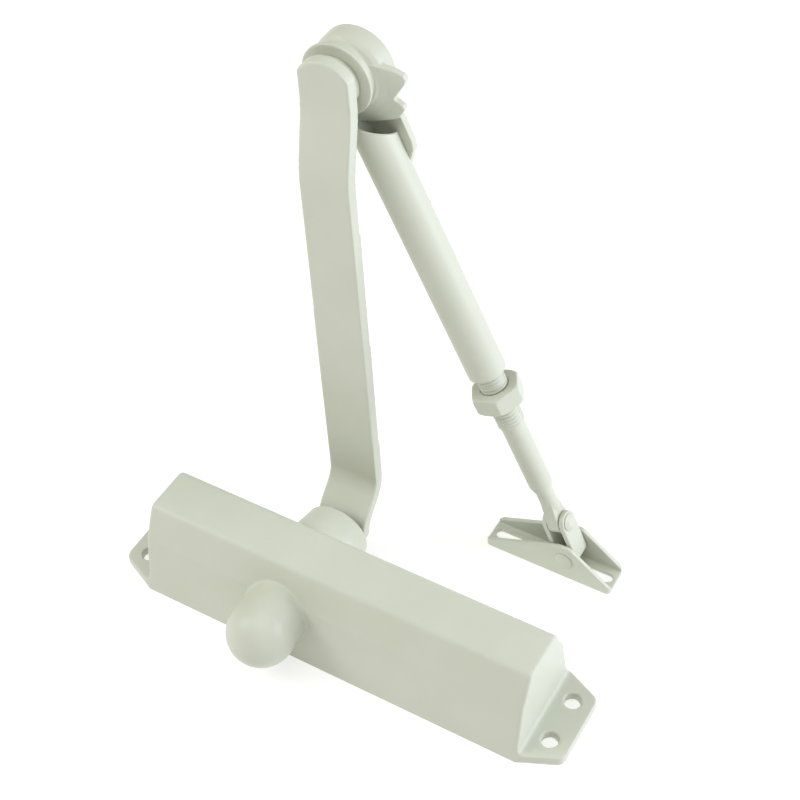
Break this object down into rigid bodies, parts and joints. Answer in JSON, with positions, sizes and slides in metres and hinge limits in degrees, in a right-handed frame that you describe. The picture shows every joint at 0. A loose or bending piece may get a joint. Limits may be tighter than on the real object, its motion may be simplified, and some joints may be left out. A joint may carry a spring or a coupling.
{
  "type": "hydraulic door closer",
  "caption": "Surface-mounted hydraulic door closer: rack-and-pinion housing with a spring piston, a joggled main arm and an adjustable forearm that ends in a swivelling foot bracket.",
  "frame": {"origin": "centre of the four mounting holes, on the housing's mounting face", "axes": "+X along the housing towards the spring end, +Y along the pinion towards the arm, +Z out of the mounting face"},
  "size_m": [0.182, 0.1093, 0.2135],
  "materials": {
    "painted_casting": "pale grey-green enamel on die-cast aluminium",
    "painted_steel": "pale grey-green enamel on steel",
    "plated_steel": "zinc-plated steel",
    "machined_steel": "machined steel",
    "bearing_bronze": "sintered bronze",
    "valve_brass": "turned brass",
    "seal_rubber": "nitrile rubber"
  },
  "bodies": {
    "body": {"housing": "painted_casting", "end_plug": "plated_steel", "end_plug_seal": "seal_rubber", "main_spring": "machined_steel", "upper_bearing": "bearing_bronze", "lower_bearing": "bearing_bronze", "lower_plug": "plated_steel", "shaft_seal": "seal_rubber", "gland_nut": "plated_steel", "pinion_cap": "painted_steel"},
    "piston": {"piston": "machined_steel", "piston_seal": "bearing_bronze", "check_ball": "machined_steel", "check_retainer": "machined_steel"},
    "arm": {"pinion_shaft": "machined_steel", "main_arm": "painted_steel", "arm_washer": "plated_steel", "arm_screw": "plated_steel", "elbow_washer": "painted_steel", "elbow_pin": "painted_steel"},
    "forearm": {"forearm_head": "painted_steel", "forearm_tube": "painted_steel", "tube_rivet": "painted_steel"},
    "rod": {"adjusting_rod": "painted_steel"},
    "nut": {"lock_nut": "painted_steel"},
    "link": {"foot_link": "painted_steel", "foot_rivet": "painted_steel"},
    "bracket": {"foot_bracket": "painted_steel", "bracket_pin": "painted_steel"},
    "closing_screw": {"closing_valve": "valve_brass", "closing_valve_seal": "seal_rubber"},
    "latching_screw": {"latching_valve": "valve_brass", "latching_valve_seal": "seal_rubber"}
  },
  "joints": [
    {"name": "arm_swing", "type": "hinge", "parent": "body", "child": "arm", "pos_m": [-0.02, 0, 0.018], "axis": [0, 1, 0], "range_deg": [0, 180], "stiffness_Nm_per_rad": 2, "springref_deg": -34.38},
    {"name": "piston_slide", "type": "slide", "parent": "body", "child": "piston", "axis": [1, 0, 0], "range_m": [0, 0.0189], "deforming": ["main_spring"]},
    {"name": "elbow_swing", "type": "hinge", "parent": "arm", "child": "forearm", "pos_m": [-0.0205, 0.047, 0.2013], "axis": [0, -1, 0], "range_deg": [-10, 155]},
    {"name": "length_adjust", "type": "slide", "parent": "forearm", "child": "rod", "axis": [0.369, 0.0474, -0.9282], "range_m": [-0.0055, 0.015]},
    {"name": "nut_turn", "type": "hinge", "parent": "rod", "child": "nut", "pos_m": [0.02589, 0.06056, 0.08462], "axis": [0.369, 0.0474, -0.9282], "range_deg": [-180, 180]},
    {"name": "link_swing", "type": "hinge", "parent": "rod", "child": "link", "pos_m": [0.0505, 0.06372, 0.02271], "axis": [-0.9293, 0, -0.3694], "range_deg": [-20, 20]},
    {"name": "bracket_swing", "type": "hinge", "parent": "link", "child": "bracket", "pos_m": [0.05583, 0.06372, 0.0093], "axis": [0, 1, 0], "range_deg": [-90, 50]},
    {"name": "closing_speed", "type": "hinge", "parent": "body", "child": "closing_screw", "pos_m": [-0.0765, -0.0146, 0.0072], "axis": [1, 0, 0], "range_deg": [-180, 180]},
    {"name": "latching_speed", "type": "hinge", "parent": "body", "child": "latching_screw", "pos_m": [-0.0765, 0.0146, 0.0072], "axis": [1, 0, 0], "range_deg": [-180, 180]}
  ],
  "couplings": [
    {"joint": "piston_slide", "follows": "arm_swing", "m_per_rad": 0.006}
  ]
}
